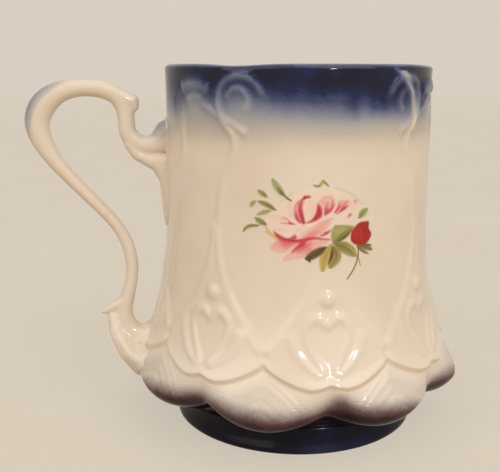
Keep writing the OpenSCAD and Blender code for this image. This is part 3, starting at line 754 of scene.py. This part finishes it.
# The open rose, from its pale petals behind to the folds in front
BLOOM = [
    # pale outer petals
    wash(PALE, [(-11, -2.4), (-9, 0.8), (-6.8, 2.8), (-4.2, 4.7), (-2.3, 5.9), (0.1, 6.2), (2.5, 6.1),
                (5.2, 6.2), (7.4, 6.1), (9.7, 5), (12, 3.6), (13.9, 1.6), (13, -1.2), (10.6, -2.6),
                (6, -3.4), (-2, -4.6), (-8.6, -4.2)], 0.5, 0.8),
    stroke(BLUSH, [(-4.8, 3.4), (-4.6, 1.4), (-4.2, -0.8)], 1.4, 0.7, 0.8, 0.6),
    stroke(BLUSH, [(12.6, 2.2), (11.2, 1.4), (9.4, 1)], 1.6, 0.5, 0.8, 0.6),
    stroke(BLUSH, [(-9.6, -0.6), (-7.4, -1.4), (-5.4, -2.4)], 1.4, 0.5, 0.7, 0.6),
    # lower left petal
    wash(PINK, [(-7.5, -6.6), (-4.2, -6.9), (-2.7, -7.3), (-4.4, -8.8), (-5.6, -9.8), (-7.6, -9.8),
                (-9.1, -9.2), (-9.3, -8.5), (-8.4, -7.5)], 0.45, 0.95),
    stroke(ROSE, [(-7, -7), (-5.4, -7.6), (-3.6, -7.3)], 2, 0.6, 0.8, 0.9),
    stroke(CRIMSON, [(-6.6, -6.9), (-5.2, -7), (-3.8, -7)], 0.9, 0.6, 0.6, 0.6),
    stroke(BLUSH, [(-9, -8.6), (-7.8, -9.2), (-6.2, -9.4)], 1, 0.6, 0.5, 0.7),
    # bottom petal
    wash(PINK, [(-1.3, -7), (0.9, -7), (4.9, -6.9), (3.8, -7.9), (2, -9), (0.2, -10.3), (-1.3, -11),
                (-3.4, -11.4), (-5.4, -11.9), (-6.1, -11.8), (-5.4, -10.7), (-4.1, -9.5),
                (-2.6, -8.1)], 0.45, 0.95),
    stroke(BLUSH, [(-5.8, -11.6), (-4, -10.8), (-2, -10.4)], 1.3, 0.6, 0.6, 0.7),
    stroke(BLUSH, [(3.6, -7.6), (1.4, -8.4), (-0.6, -9.6)], 0.8, 0.5, 0.5, 0.6),
    stroke(ROSE, [(0.6, -7.2), (-0.8, -8.4), (-2.4, -9.6)], 1.6, 0.4, 0.7, 0.9),
    stroke(CRIMSON, [(-0.6, -6.9), (-1.8, -7.9), (-3.8, -9.5)], 1.7, 0.3, 0.55),
    stroke(ROSE, [(0.8, -8.6), (0.2, -9.1), (-0.6, -9.7)], 0.9, 0.5, 0.5, 0.7),
    # middle petal
    wash(BLUSH, [(-3.4, -6.2), (-0.8, -4), (2, -2.4), (4.9, -1.3), (6.1, -1.3), (5.6, -2.7),
                 (4.2, -4.3), (2.5, -5.7), (0.2, -5.9), (-2.2, -6.5)], 0.4),
    stroke(PINK, [(4.8, -2.2), (2.6, -3.8), (0.2, -5.2)], 2.4, 0.6, 0.9, 0.9),
    stroke(ROSE, [(2.6, -4.6), (0.8, -5.4), (-1, -6)], 1.2, 0.5, 0.7, 0.6),
    stroke(ROSE, [(5.9, -1.3), (4, -1.7), (2.5, -2.3)], 0.55, 0.4, 0.35, 0.8),
    # folded rim in front of the heart
    wash(PALE, [(-10.4, -2.8), (-7.4, -3), (-4, -2.9), (-1, -2.6), (2.4, -2), (5, -0.8), (8.4, 0.3),
                (8.6, -0.3), (5, -1.4), (1.6, -2.7), (-1.2, -4.2), (-3.4, -6), (-5.4, -5.4),
                (-7.6, -4.6)], 0.3),
    stroke(BLUSH, [(-8.6, -4), (-6, -4.4), (-4, -4.2)], 0.9, 0.5, 0.5, 0.7),
    stroke(BLUSH, [(-1, -3.2), (-2.4, -4.2), (-3.6, -5.4)], 0.8, 0.5, 0.5, 0.8),
    # crimson under the folded rim
    wash(CRIMSON, [(-8.6, -4.5), (-7.2, -5.3), (-5, -6.4), (-3.4, -6.7), (-5.2, -7), (-7.2, -6.6),
                   (-8.2, -5.8)], 0.35),
    wash(CRIMSON, [(-3.2, -5.2), (-4, -5.7), (-5, -6.5), (-3.4, -6.5), (-2.8, -6)], 0.35, 0.95),
    stroke(CRIMSON, [(-7.6, -6.3), (-4.7, -6.8), (-2.3, -6.9), (0, -6.4), (1.6, -6.2), (3.2, -6.4),
                     (5.2, -6.6)], 1.1, 0.35, 0.35),
    stroke(DEEP, [(-6.4, -6.3), (-4, -6.7), (-1.4, -6.7)], 0.5, 0.4, 0.3, 0.8),
    stroke(CRIMSON, [(5.6, -4.3), (4.2, -5.1), (2.9, -5.8)], 1, 0.35, 0.35, 0.95),
    stroke(PALE, [(5.4, -5.4), (4.4, -5.8), (3, -6)], 0.4, 0.4, 0.2, 0.8),
    # heart of the bloom, left side
    wash(ROSE, [(-1.7, 3.8), (-3, 2.7), (-3.6, 1.1), (-3.5, -0.8), (-2.8, -2), (-1.4, -2.5),
                (-0.9, -2.2), (-1.2, -0.1), (-1.5, 1.5), (-1.2, 3.2)], 0.4),
    stroke(PINK, [(-2.6, 2.9), (-3.2, 1.2), (-3.2, -0.4)], 0.8, 0.6, 0.5, 0.8),
    stroke(CRIMSON, [(-2, 2.6), (-2.1, 0.8), (-1.9, -0.8), (-1.2, -2.3)], 1, 0.8, 0.4),
    stroke(CRIMSON, [(-3.3, 0.3), (-2.9, -1), (-2.1, -2.2)], 0.6, 0.7, 0.3),
    stroke(DEEP, [(-1.8, 0.4), (-1.6, -0.8), (-1.2, -2.2)], 0.5, 0.8, 0.3, 0.8),
    stroke(PALE, [(-2.9, 1.6), (-2.6, 0), (-2, -1.7)], 0.18, 0.7, 0.18, 0.6),
    stroke(CRIMSON, [(-1.6, 3.4), (-0.9, 4), (0.1, 4.1)], 1, 0.7, 0.3),
    stroke(DEEP, [(-1.4, 3.6), (-0.7, 4)], 0.5, 0.6, 0.25, 0.8),
    # right side: pink petals behind, and the crimson between them
    wash(PINK, [(2.3, 2.9), (4, 4.3), (5.9, 4.1), (6.5, 2.2), (5.9, 0.6), (4.7, -0.3), (3.7, -0.3),
                (3.2, 1.1)], 0.5, 0.85),
    wash(PINK, [(7.1, 2.9), (8.5, 3.2), (10.4, 2.8), (10.2, 1.8), (8.5, 0.4), (6.6, -0.3),
                (6.4, 0.6)], 0.5, 0.8),
    stroke(BLUSH, [(3.4, 3.2), (4.8, 3.4), (5.8, 2.6)], 0.9, 0.6, 0.5, 0.8),
    wash(CRIMSON, [(2.1, 2.6), (3, 1.7), (3.4, 0.4), (3.2, -0.9), (2, -1.8), (0.2, -2.4),
                   (-0.6, -2.3), (0.6, -1.5), (1.4, -0.4), (1.8, 1.1)], 0.35),
    stroke(DEEP, [(2.4, 1.4), (2.6, 0), (1.4, -1.5)], 0.7, 0.5, 0.4, 0.8),
    wash(CRIMSON, [(3.7, 1.4), (4.8, 1.3), (5.1, 0.5), (4.4, -0.4), (3.7, -0.4)], 0.35),
    stroke(ROSE, [(5.9, 3.2), (5.9, 1.6), (5, 0.2)], 0.9, 0.6, 0.4, 0.9),
    stroke(CRIMSON, [(6, 1.9), (5.5, 0.9), (4.7, 0)], 0.55, 0.5, 0.3, 0.9),
    stroke(ROSE, [(4.6, 2.6), (4.5, 1.6), (4.2, 0.8)], 0.7, 0.7, 0.4, 0.8),
    stroke(ROSE, [(7.8, 2.4), (7.4, 1.2), (6.6, 0.2)], 0.9, 0.6, 0.4),
    stroke(CRIMSON, [(7.6, 1.6), (7.2, 0.9), (6.6, 0.2)], 0.5, 0.6, 0.3, 0.9),
    stroke(CRIMSON, [(9.8, 1.6), (8.5, 0.9), (7, -0.1)], 1, 0.4, 0.35),
    stroke(ROSE, [(9.6, 2.7), (8.8, 1.9), (8, 1.3)], 0.8, 0.5, 0.45, 0.8),
    stroke(PALE, [(3.2, 2.4), (3.6, 1), (3.6, -0.8)], 0.3, 0.8, 0.2, 0.9),
    stroke(PALE, [(6.9, 3.4), (6.8, 1.6), (5.9, 0.2), (4.8, -0.6)], 0.42, 0.6, 0.2, 0.9),
    stroke(PALE, [(8, 1.2), (7.2, 0.2), (6.2, -0.5)], 0.25, 0.6, 0.18, 0.8),
    # pale oval petal at the heart
    wash("#E7CDBA", [(-0.9, 0.8), (-0.7, 2.4), (0, 3.3), (0.8, 3.4), (1.6, 2.5), (1.8, 0.9),
                     (1.3, -0.5), (0.6, -1.4), (-0.1, -1.5), (-0.7, -0.7)], 0.28),
    stroke(BLUSH, [(1, 2.6), (1.2, 1), (0.8, -0.6)], 0.6, 0.5, 0.4, 0.7),
    # folds at the left
    wash(CRIMSON, [(-4.9, -2), (-3.9, -2.3), (-3.1, -2.8), (-4.6, -2.8), (-5, -2.5)], 0.3),
    stroke(ROSE, [(-6.6, -1.1), (-5.6, -1.3), (-4.6, -2)], 0.45, 0.6, 0.3, 0.85),
    stroke(ROSE, [(-7, -2.5), (-5.8, -2.5), (-4.6, -2.6)], 0.4, 0.6, 0.3, 0.75),
    stroke(PALE, [(-4.8, -1.2), (-3.9, -1.9), (-2.9, -2.7)], 0.3, 0.7, 0.2, 0.9),
    # spots and shaded edges
    stroke(ROSE, [(11.4, 2.9), (12.2, 2.5)], 0.9, 0.5, 0.45, 0.7),
    stroke(ROSE, [(11, -0.4), (10.4, -0.8), (9.9, -1.2)], 0.9, 0.4, 0.4, 0.85),
    stroke(CRIMSON, [(10.7, -0.5), (10.2, -0.9)], 0.5, 0.5, 0.3, 0.8),
    stroke(MAUVE, [(6.1, 6.2), (8.4, 5.6), (11.4, 4.1), (13.8, 1.9)], 0.35, 0.6, 0.35, 0.5),
    stroke(MAUVE, [(-7.4, 2.5), (-6.6, 3), (-4.4, 4.6), (-3.4, 5.5), (-1.8, 6.2)], 0.35, 0.6, 0.35,
           0.45),
    stroke(OCHRE, [(-10.9, -2.7), (-10.1, -4.5), (-8.7, -5.8), (-7.5, -6.7)], 0.8, 0.6, 0.4, 0.8)]

# The bud, and the room that its film takes
BUD_EDGE = [(10.9, -4.8), (12.2, -3.4), (13.2, -2.7), (14.8, -2.5), (15.9, -2.7), (15.9, -4.3),
            (16.7, -5.9), (15.9, -7.6), (14.5, -8.5), (12.6, -8.5), (11, -7.5), (10.7, -6.2)]
BUD_ROOM = [(10, -4), (11.8, -2), (14.6, -0.9), (16.8, -1.3), (17.6, -5), (16.8, -8), (14.4, -9.4),
            (11.8, -9.2), (10, -7.2)]
BUD = [
    wash("#AA2B24", BUD_EDGE, 0.25),
    stroke("#B33127", [(12.4, -3.6), (11.9, -5), (12.1, -6.8)], 1.5, 0.6, 0.6, 0.7),
    stroke("#8E1E1C", [(13.7, -3.2), (14.2, -4.2), (14.6, -5.4)], 0.6, 0.6, 0.4, 0.8),
    stroke("#8E1E1C", [(15.5, -3.2), (15.1, -4.8), (15.3, -6.6), (14.4, -8)], 0.7, 0.6, 0.5, 0.6),
    stroke("#93221E", [(11, -6.8), (12.6, -7.8), (14.8, -7.6)], 0.7, 0.5, 0.5, 0.6),
    stroke("#BE3E32", [(13.6, -4.4), (13.4, -5.6), (13.6, -6.8)], 0.7, 0.4, 0.5, 0.5)]

# A broad leaf beside the bud, and then each leaf or stem: its spine from its base, half width, fullness,
# and the colours of its blade and rib
BROAD_LEAF = [(6.5, -3), (8.8, -3.1), (11.5, -3.6), (10.4, -5.2), (8.8, -6.7), (7, -7.9), (5.9, -7.3),
              (5.6, -5.6), (6, -3.9)]
BROAD_ROOM = [(5.6, -2.2), (8.8, -2.2), (12.6, -2.9), (11.4, -5.4), (9.6, -7.4), (7, -8.9), (5, -8.2),
              (4.6, -5.6)]
LEAVES = [
    ([(6.3, -7.7), (8.2, -5.6), (10.8, -3.9)], 0.5, 0.5, "#9A9A5A", "#6A6834"),
    ([(7.4, -7), (9.2, -6), (10.8, -4.6)], 0.6, 0.5, "#7E7A3E", "#5A5228"),
    ([(5.7, -7.9), (4.2, -11), (3.5, -14.9)], 1.35, 0.6, "#C4A95E", "#A08C48"),
    ([(6.2, -8.3), (7, -11), (5.2, -14)], 1.35, 0.6, "#A99660", "#75602F"),
    ([(6, -8.6), (5.8, -10.8), (5, -13)], 0.45, 0.6, "#6E5A2B", "#53421E"),
    ([(4.2, -8.6), (1.6, -10.2), (-0.7, -11.5)], 1.1, 0.45, "#6C5C30", "#44391B"),
    ([(0.8, -10.6), (0.2, -11.4), (0.5, -12.2)], 0.5, 0.5, "#5F5027", "#43381A"),
    ([(6.8, -7.9), (9.6, -9), (12.4, -11.2)], 1.5, 0.55, "#9F9456", "#6C6130"),
    ([(10, -8.2), (11.4, -9.2), (12.2, -10.9)], 0.5, 0.5, "#B4A562", "#8C8044"),
    ([(12.5, -8.8), (14.8, -9.1), (17, -10)], 0.8, 0.5, "#938752", "#625A2C"),
    ([(12.7, -9), (14.1, -10), (15.9, -11)], 0.4, 0.5, "#8C8448", "#615B2C"),
    ([(13.5, -8.6), (15.2, -8.6), (16.8, -8.9)], 0.4, 0.5, "#7A7438", "#585426"),
    ([(12.8, -8.6), (12.8, -11.4), (11.6, -14.4), (9.4, -17.5)], 0.2, 0.1, "#7E7442", "#665C32"),
    ([(12.8, -11.4), (13.2, -12.6), (13.5, -13.8)], 0.12, 0.4, "#8C8250", "#706638"),
    ([(13, -1.5), (14.1, -0.3), (15.4, 0.6)], 0.95, 0.5, "#AAAA70", "#70723E"),
    ([(1, 7), (2, 6.7), (2.8, 7.1), (3.4, 8.2)], 0.36, 0.4, "#A5A066", "#868048"),
    ([(3.2, 8.1), (3.9, 7.6), (4.9, 6.6)], 0.3, 0.4, "#9C955C", "#7E7844"),
    ([(2.6, 7.2), (3.1, 7.4), (3.6, 7.4)], 0.5, 0.4, "#B5AF7C", "#A5A06A"),
    ([(-6, 4.3), (-7.7, 6.3), (-9.1, 8.5)], 0.95, 0.5, "#B4B184", "#868550"),
    ([(-5.9, 4.2), (-6.9, 5.2), (-7.7, 6.3)], 0.45, 0.5, "#85863F", "#686A30"),
    ([(-4.2, 3.1), (-5.1, 3.6), (-6.2, 4.6)], 0.26, 0.3, "#7C7C44", "#626234"),
    ([(-10.3, 3.9), (-11.4, 4.7), (-12.6, 5.4)], 0.65, 0.45, "#A39B62", "#7C7442"),
    ([(-8.1, 0.7), (-10.4, 2), (-12.6, 2.7)], 0.7, 0.5, "#A29B60", "#6E6A36"),
    ([(-13.2, 2.7), (-14, 2.1), (-14.6, 1.3)], 0.6, 0.45, "#B5A678", "#9A8C5A"),
    ([(-9.4, 0.5), (-11.2, 0), (-12.8, -0.7)], 0.65, 0.5, "#B4AE7C", "#98945E"),
    ([(-10.5, -3), (-11.9, -2.3), (-13.3, -1.5)], 0.8, 0.5, "#9C9E66", "#6C6C3A"),
    ([(-12.2, -3.4), (-14.2, -3.5), (-15.6, -4.1), (-16.5, -5.3)], 0.5, 0.4, "#A89A64", "#7C7044")]


def leaf_layers():
    broad = wash("#9C9A58", BROAD_LEAF, 0.25)
    shade = stroke("#6A6532", [(11, -4.4), (9, -6.6), (6.8, -8)], 1.8, 0.8, 0.7, 0.85)
    shine = stroke("#ACA76C", [(6.2, -4), (7.4, -4.6), (8.6, -4.2)], 1.4, 0.6, 0.6, 0.7)
    layers = [broad, within(broad, shade), within(broad, shine)]
    for spine, half, fullness, light, dark in LEAVES:
        shape = leaf_wash(light, spine, half, fullness, 0.18 + 0.12 * half)
        shade = stroke(dark, spine, half * 1.3, 0.1, half * 0.6, 0.5, 1)
        rib = stroke(dark, spine, half * 0.2 + 0.06, 0.4, 0.15, 0.7, 1)
        layers += [shape, within(shape, shade), within(shape, rib)]
    return layers


def longer(spine, by):
    """A spine drawn out at both its ends."""
    line = np.array(spine, float)
    for end, inner in ((0, 1), (-1, -2)):
        run = line[end] - line[inner]
        line[end] = line[end] + by * run / np.hypot(*run)
    return line


def leaf_films():
    """A film for every leaf and stem, gathered in one piece."""
    films = [film("leaf_print", 40, 40, rounded(BROAD_ROOM, (8.3, -5.3)), 0.7, 0.002)]
    for k, (spine, half, fullness, light, dark) in enumerate(LEAVES):
        room = blade(longer(spine, 0.8), half * 1.2 + 0.5, fullness * 0.5)
        films.append(film("leaf_print", 34, 16, room, 0.55, 0.003 + 0.0004 * k))
    select_only(films)
    bpy.ops.object.join()
    films[0].name = "rose_leaf_prints"
    return films[0]


# Finishes

def add(tree, kind, inputs=None, **settings):
    """Adds a node with its settings, and links or sets its inputs."""
    node = tree.nodes.new(kind)
    for key, value in settings.items():
        setattr(node, key, value)
    for key, value in (inputs or {}).items():
        if isinstance(value, bpy.types.NodeSocket):
            tree.links.new(value, node.inputs[key])
        else:
            node.inputs[key].default_value = value
    return node


def colour(code):
    return (*linear(code), 1)


def reckon(tree, operation, *values, **settings):
    """A sum, product or comparison of numbers and sockets."""
    return add(tree, "ShaderNodeMath", dict(enumerate(values)), operation=operation, **settings).outputs[0]


def clouds(tree, size, detail):
    """Soft noise that stays on the object, with clouds of a size in millimetres."""
    at = add(tree, "ShaderNodeTexCoord").outputs["Object"]
    noise = add(tree, "ShaderNodeTexNoise", {"Vector": at, "Scale": 1 / (size * MM), "Detail": detail})
    return noise.outputs["Fac"]


def over(tree, share, below, above):
    """One colour laid over another by a share."""
    laid = add(tree, "ShaderNodeMix", {"Factor": share, "A": below, "B": above}, data_type="RGBA")
    return laid.outputs["Result"]


def ramp(tree, factor, stops):
    node = add(tree, "ShaderNodeValToRGB", {"Fac": factor})
    while len(node.color_ramp.elements) < len(stops):
        node.color_ramp.elements.new(0.5)
    for element, (position, code) in zip(node.color_ramp.elements, stops):
        element.position = position
        element.color = colour(code)
    return node.outputs["Color"]


def fresh(name):
    material = bpy.data.materials.new(name)
    material.use_nodes = True
    material.node_tree.nodes.clear()
    return material, material.node_tree


def glaze(tree, base, bump_mm, roughness, shine=0.35):
    """A clear fired glaze: glossy, with the slight unevenness that a dipped glaze keeps."""
    bump = add(tree, "ShaderNodeBump", {"Height": clouds(tree, 7, 1.5), "Strength": 0.5,
                                        "Distance": bump_mm * MM})
    shader = add(tree, "ShaderNodeBsdfPrincipled", {
        "Base Color": base, "Roughness": roughness, "IOR": 1.5, "Specular IOR Level": shine,
        "Normal": bump.outputs["Normal"]})
    add(tree, "ShaderNodeOutputMaterial", {"Surface": shader.outputs["BSDF"]})


def ivory_ground(tree):
    """Warm white porcelain under clear glaze, a little uneven in tone, with a few dark firing specks."""
    tone = ramp(tree, clouds(tree, 22, 3), [(0.3, "#DECFBC"), (0.7, "#E5D8C7")])
    at = add(tree, "ShaderNodeTexCoord").outputs["Object"]
    cells = add(tree, "ShaderNodeTexVoronoi", {"Vector": at, "Scale": 1 / (9 * MM)})
    pick = add(tree, "ShaderNodeSeparateColor", {"Color": cells.outputs["Color"]})
    few = reckon(tree, "GREATER_THAN", pick.outputs["Red"], 0.8)
    small = reckon(tree, "LESS_THAN", cells.outputs["Distance"], 0.026)
    speck = reckon(tree, "MULTIPLY", reckon(tree, "MULTIPLY", few, small), 0.5)
    return over(tree, speck, tone, colour("#6B5540"))


def glazed_porcelain():
    """Slip-cast porcelain, sprayed with cobalt at the rim and the foot before glazing. The spray is a fine
    mist that thins to nothing. Round the petals' undersides its colour is partly painted warm shade, and
    over the lip's crest its thinning is partly a painted highlight."""
    material, tree = fresh("glazed_porcelain")
    ground = ivory_ground(tree)
    drift = clouds(tree, 8, 2)
    mist = clouds(tree, 0.6, 2)

    def spray(name, stops, full):
        amount = add(tree, "ShaderNodeAttribute", attribute_name=name).outputs["Fac"]
        blown = reckon(tree, "MULTIPLY_ADD", drift, 0.5, 0.75)
        dots = reckon(tree, "MULTIPLY_ADD", mist, 0.2, 0.9)
        kept = reckon(tree, "MULTIPLY", amount, reckon(tree, "MULTIPLY", blown, dots), use_clamp=True)
        cover = add(tree, "ShaderNodeMapRange", {"Value": kept, "From Max": full},
                    interpolation_type="SMOOTHSTEP")
        return ramp(tree, kept, stops), cover.outputs["Result"]

    blue, blue_cover = spray("rim_spray_and_highlight", [
        (0, "#D6C8B2"), (0.11, "#BAB2A8"), (0.25, "#9F9FA3"), (0.43, "#787D93"), (0.68, "#3F496C"),
        (0.87, "#14204C"), (1, "#0A0E2A")], 0.12)
    # The underside spray's violet-brown middle tones are the cobalt spray partly warmed and darkened as
    # painted shade under the petals
    dusk, dusk_cover = spray("foot_spray_and_shade", [
        (0, "#B9C2C4"), (0.2, "#A9ACAC"), (0.42, "#82797A"), (0.62, "#66504F"), (0.82, "#433033"),
        (1, "#24171C")], 0.7)
    base = over(tree, dusk_cover, over(tree, blue_cover, ground, blue), dusk)
    shine = add(tree, "ShaderNodeMapRange", {"Value": dusk_cover, "To Min": 0.35, "To Max": 0.03})
    glaze(tree, base, 0.05, 0.08, shine.outputs["Result"])
    return material


def cobalt_foot():
    """Foot dipped in cobalt under clear glaze: nearly black where it lies thick, bluer where it thins."""
    material, tree = fresh("cobalt_foot")
    drift = clouds(tree, 11, 4)
    base = ramp(tree, drift, [(0.35, "#0B090D"), (0.6, "#0F1020"), (0.8, "#18204A")])
    thin = add(tree, "ShaderNodeAttribute", attribute_name="thin_cobalt").outputs["Fac"]
    patchy = reckon(tree, "MULTIPLY", thin, drift)
    glaze(tree, over(tree, patchy, base, colour("#31375A")), 0.05, 0.16, 0.14)
    return material


def enamel_print():
    """Transfer print in enamel colours, fired into the glaze, so it shines as the porcelain does."""
    material, tree = fresh("enamel_print")
    drawn = add(tree, "ShaderNodeAttribute", attribute_name="print").outputs
    grain = add(tree, "ShaderNodeMapRange", {"Value": clouds(tree, 0.6, 3), "To Min": 0.94, "To Max": 1.06})
    tone = add(tree, "ShaderNodeHueSaturation", {"Color": drawn["Color"], "Value": grain.outputs["Result"]})
    glaze(tree, over(tree, drawn["Alpha"], ivory_ground(tree), tone.outputs["Color"]), 0.05, 0.1)
    return material


def fired_slip():
    """White slip under the glaze where two castings meet, a little rougher than the wall."""
    material, tree = fresh("fired_slip")
    glaze(tree, ivory_ground(tree), 0.09, 0.22)
    return material


def direct_view(tree):
    """1 for rays that the camera sees, also by reflection or through glass."""
    rays = add(tree, "ShaderNodeLightPath").outputs
    mirrored = reckon(tree, "MAXIMUM", rays["Is Camera Ray"], rays["Is Glossy Ray"])
    return reckon(tree, "MAXIMUM", mirrored, rays["Is Transmission Ray"])


floor_w = 6  # in metres, as the lights' places and sizes are


def pale_floor():
    """Matt paper floor under the cup. The camera sees it evenly lit, with the cup's shadow on it, and its
    far end as light as the backdrop."""
    material, tree = fresh("pale_floor")
    base = ramp(tree, clouds(tree, 60, 2), [(0.3, "#E6DDCE"), (0.7, "#E9E1D3")])
    shader = add(tree, "ShaderNodeBsdfPrincipled", {"Base Color": colour("#C2AE8E"), "Roughness": 0.8})
    even = add(tree, "ShaderNodeEmission", {"Color": base, "Strength": 1.0})
    at = add(tree, "ShaderNodeTexCoord").outputs["Object"]
    away = add(tree, "ShaderNodeVectorMath", {0: at}, operation="LENGTH").outputs["Value"]
    evened = add(tree, "ShaderNodeMapRange", {"Value": away, "From Min": 0.5, "From Max": floor_w / 2,
                                              "To Min": 0.65, "To Max": 0.758})
    seen = reckon(tree, "MULTIPLY", direct_view(tree), evened.outputs["Result"])
    both = add(tree, "ShaderNodeMixShader", {0: seen, 1: shader.outputs["BSDF"], 2: even.outputs[0]})
    add(tree, "ShaderNodeOutputMaterial", {"Surface": both.outputs[0]})
    return material


# Putting the cup together
porcelain = glazed_porcelain()
cobalt = cobalt_foot()
slip = fired_slip()
enamel = enamel_print()


def place(piece, material, slot, *nodes):
    piece.data.materials.clear()
    piece.data.materials.append(material)
    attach(piece, "root")
    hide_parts(*nodes)


place(cup_body(), porcelain, "porcelain", "cup_body")
place(foot(), cobalt, "cobalt_glaze", "foot_ring")
place(ledge(), porcelain, "porcelain", "mustache_guard")
place(handle(), porcelain, "porcelain", "handle")
# The whole picture is painted on each film, so that films which overlap agree
picture = BLOOM + leaf_layers() + BUD
bloom = film("rose_bloom_print", 150, 130, rounded(BLOOM_EDGE, (0.5, -2.5)), 0.8)
bud = film("rose_bud_print", 48, 48, rounded(BUD_ROOM, (13.7, -5.2)), 0.7, 0.016)
leaves = leaf_films()
for print_film in (bloom, bud, leaves):
    paint(print_film, picture)
place(bloom, enamel, "pink_enamel", "rose_bloom")
place(bud, enamel, "red_enamel", "rose_bud")
place(leaves, enamel, "green_enamel", "rose_leaves")
for name in ("foot_slip", "guard_slip", "handle_top_slip", "handle_root_slip"):
    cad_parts[name].data.materials.clear()
    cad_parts[name].data.materials.append(cobalt if name == "foot_slip" else slip)

# Studio: a pale floor, a soft key from the right, a fill, and a small lamp by the camera
clear_selection()
bpy.ops.mesh.primitive_plane_add(size=floor_w)
floor = bpy.context.object
floor.name = "studio_floor"
floor.data.materials.append(pale_floor())


def soft_light(name, location, size, watts, tint="#FFFFFF"):
    clear_selection()
    bpy.ops.object.light_add(type="AREA", location=location)
    lamp = bpy.context.object
    lamp.name = name
    lamp.data.size = size
    lamp.data.energy = watts
    lamp.data.color = linear(tint)
    aim = (0, 0, 0.05)
    back = [a - b for a, b in zip(location, aim)]
    tilt = math.atan2(math.hypot(back[0], back[1]), back[2])
    lamp.rotation_euler = (tilt, 0, math.atan2(back[0], -back[1]))


soft_light("key", (1, -1.5, 1.9), 2.2, 26.5, "#FFF8F0")
soft_light("fill", (-1.5, -1.1, 1.3), 2, 17.5, "#FFFAF5")
soft_light("lamp", (0.142, -0.48, 0.235), 0.04, 0.42, "#FFFFFF")

world = bpy.data.worlds.new("studio")
bpy.context.scene.world = world
world.use_nodes = True
sky = world.node_tree
sky.nodes.clear()
seen = add(sky, "ShaderNodeBackground", {"Color": colour("#D9CFC0"), "Strength": 1.0})
light = add(sky, "ShaderNodeBackground", {"Color": colour("#FFFCF7"), "Strength": 0.48})
blend = add(sky, "ShaderNodeMixShader", {0: direct_view(sky), 1: light.outputs[0], 2: seen.outputs[0]})
add(sky, "ShaderNodeOutputWorld", {"Surface": blend.outputs[0]})

# Camera at the photograph's place, for an image of 500 by 472
image_w = 500
focal_px = 780
sensor_w = 36
camera_at = (-48.2, -221, 101)
camera_turn = (77.82, -0.11, -8.9)
clear_selection()
bpy.ops.object.camera_add(location=[v * MM for v in camera_at],
                          rotation=[math.radians(v) for v in camera_turn])
camera = bpy.context.object
camera.data.sensor_width = sensor_w
camera.data.lens = sensor_w * focal_px / image_w
camera.data.clip_start = 0.01
bpy.context.scene.camera = camera
bpy.context.scene.view_settings.view_transform = "Standard"
